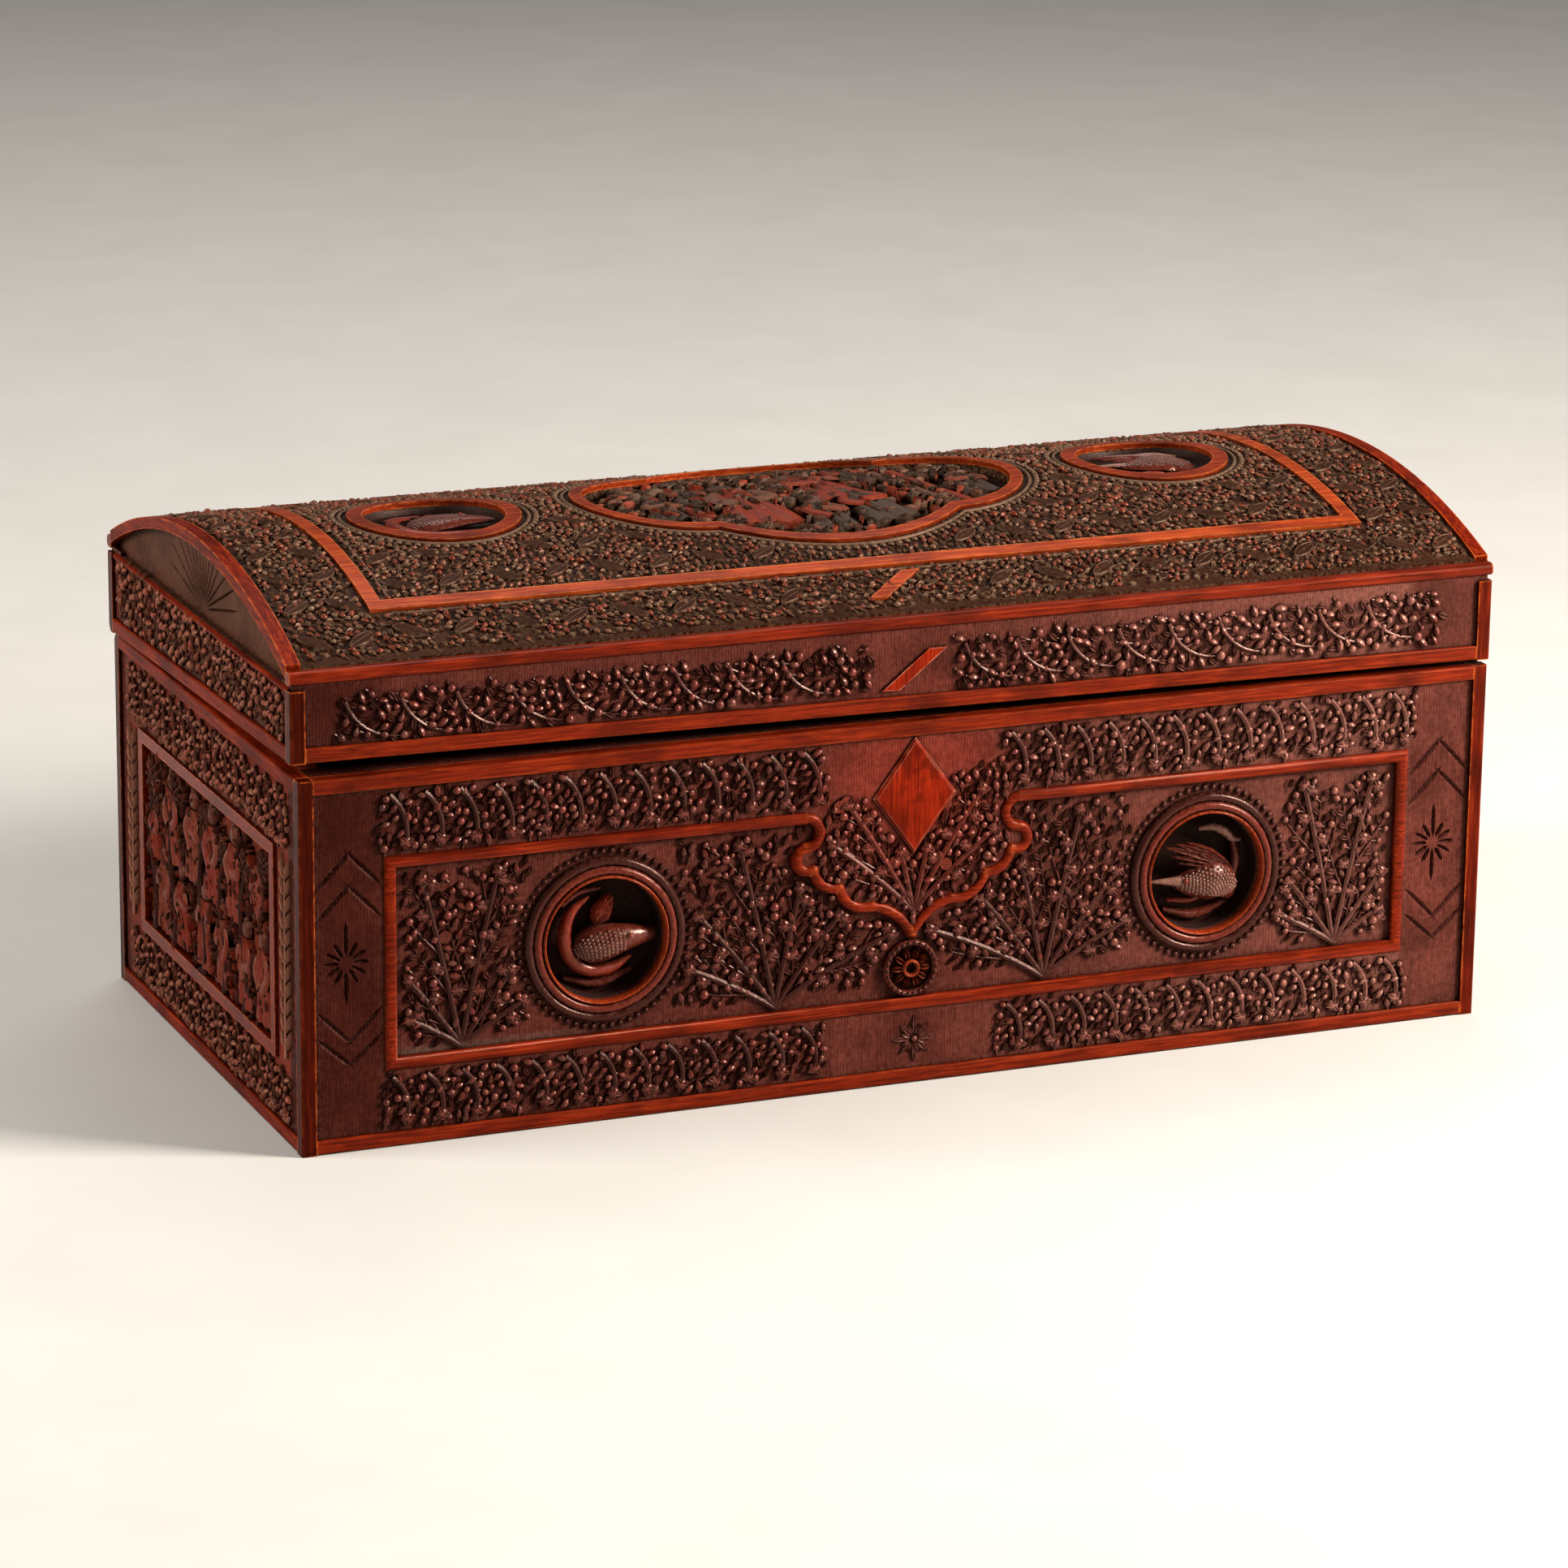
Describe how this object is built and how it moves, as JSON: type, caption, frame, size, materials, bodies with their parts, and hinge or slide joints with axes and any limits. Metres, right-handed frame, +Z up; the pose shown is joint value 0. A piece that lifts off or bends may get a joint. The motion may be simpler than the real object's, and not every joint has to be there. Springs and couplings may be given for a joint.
{
  "type": "domed lid box",
  "caption": "Carved sandalwood casket with a hinged domed lid, polished edging strips, a panelled front with a scalloped bracket and round medallions of birds.",
  "frame": {"origin": "middle of the underside, on the plane it rests on", "axes": "+X along the length to the viewer's right, the front faces -Y, +Z up"},
  "size_m": [0.3226, 0.154, 0.1374],
  "materials": {
    "carved_wood": "dark red-brown carved ground, satin",
    "dome_wood": "weathered grey-brown carved ground with red high spots",
    "strip_wood": "polished orange-red edging",
    "plaque_wood": "polished orange-red, plain",
    "figure_wood": "carved in the round, satin",
    "plain_wood": "plain planed wood",
    "hinge_brass": "aged brass"
  },
  "bodies": {
    "base": {"base_back_board": "carved_wood", "base_back_bottom_rail": "strip_wood", "base_back_left_corner_strip": "strip_wood", "base_back_right_corner_strip": "strip_wood", "base_back_top_rail": "strip_wood", "base_bottom_board": "plain_wood", "base_front_board": "carved_wood", "base_front_bottom_rail": "strip_wood", "base_front_left_corner_strip": "strip_wood", "base_front_right_corner_strip": "strip_wood", "base_front_top_rail": "strip_wood", "base_left_board": "carved_wood", "base_left_bottom_rail": "strip_wood", "base_left_top_rail": "strip_wood", "base_right_board": "carved_wood", "base_right_bottom_rail": "strip_wood", "base_right_top_rail": "strip_wood", "diamond_plaque": "plaque_wood", "front_left_bird": "figure_wood", "front_left_roundel_ring": "strip_wood", "front_panel_moulding": "strip_wood", "front_right_bird": "figure_wood", "front_right_roundel_ring": "strip_wood", "hinge_left_lower_leaf": "hinge_brass", "hinge_lower_screws": "hinge_brass", "hinge_pins": "hinge_brass", "hinge_right_lower_leaf": "hinge_brass", "left_panel_moulding": "strip_wood", "right_panel_moulding": "strip_wood", "rosette_boss": "figure_wood"},
    "lid": {"cartouche_rim": "strip_wood", "cartouche_scene": "dome_wood", "dome_back_bead": "strip_wood", "dome_frame": "strip_wood", "dome_front_bead": "strip_wood", "dome_left_arch_strip": "strip_wood", "dome_left_bird": "dome_wood", "dome_left_roundel_ring": "strip_wood", "dome_lozenge": "plaque_wood", "dome_panel": "dome_wood", "dome_right_arch_strip": "strip_wood", "dome_right_bird": "dome_wood", "dome_right_roundel_ring": "strip_wood", "hinge_left_upper_leaf": "hinge_brass", "hinge_right_upper_leaf": "hinge_brass", "hinge_upper_screws": "hinge_brass", "lid_back_board": "carved_wood", "lid_back_left_corner_strip": "strip_wood", "lid_back_rail": "strip_wood", "lid_back_right_corner_strip": "strip_wood", "lid_front_board": "carved_wood", "lid_front_left_corner_strip": "strip_wood", "lid_front_lozenge": "plaque_wood", "lid_front_rail": "strip_wood", "lid_front_right_corner_strip": "strip_wood", "lid_left_board": "carved_wood", "lid_left_rail": "strip_wood", "lid_right_board": "carved_wood", "lid_right_rail": "strip_wood"}
  },
  "joints": [
    {"name": "lid_hinge", "type": "hinge", "parent": "base", "child": "lid", "pos_m": [0, 0.075, 0.0943], "axis": [-1, 0, 0], "range_deg": [0, 100]}
  ]
}
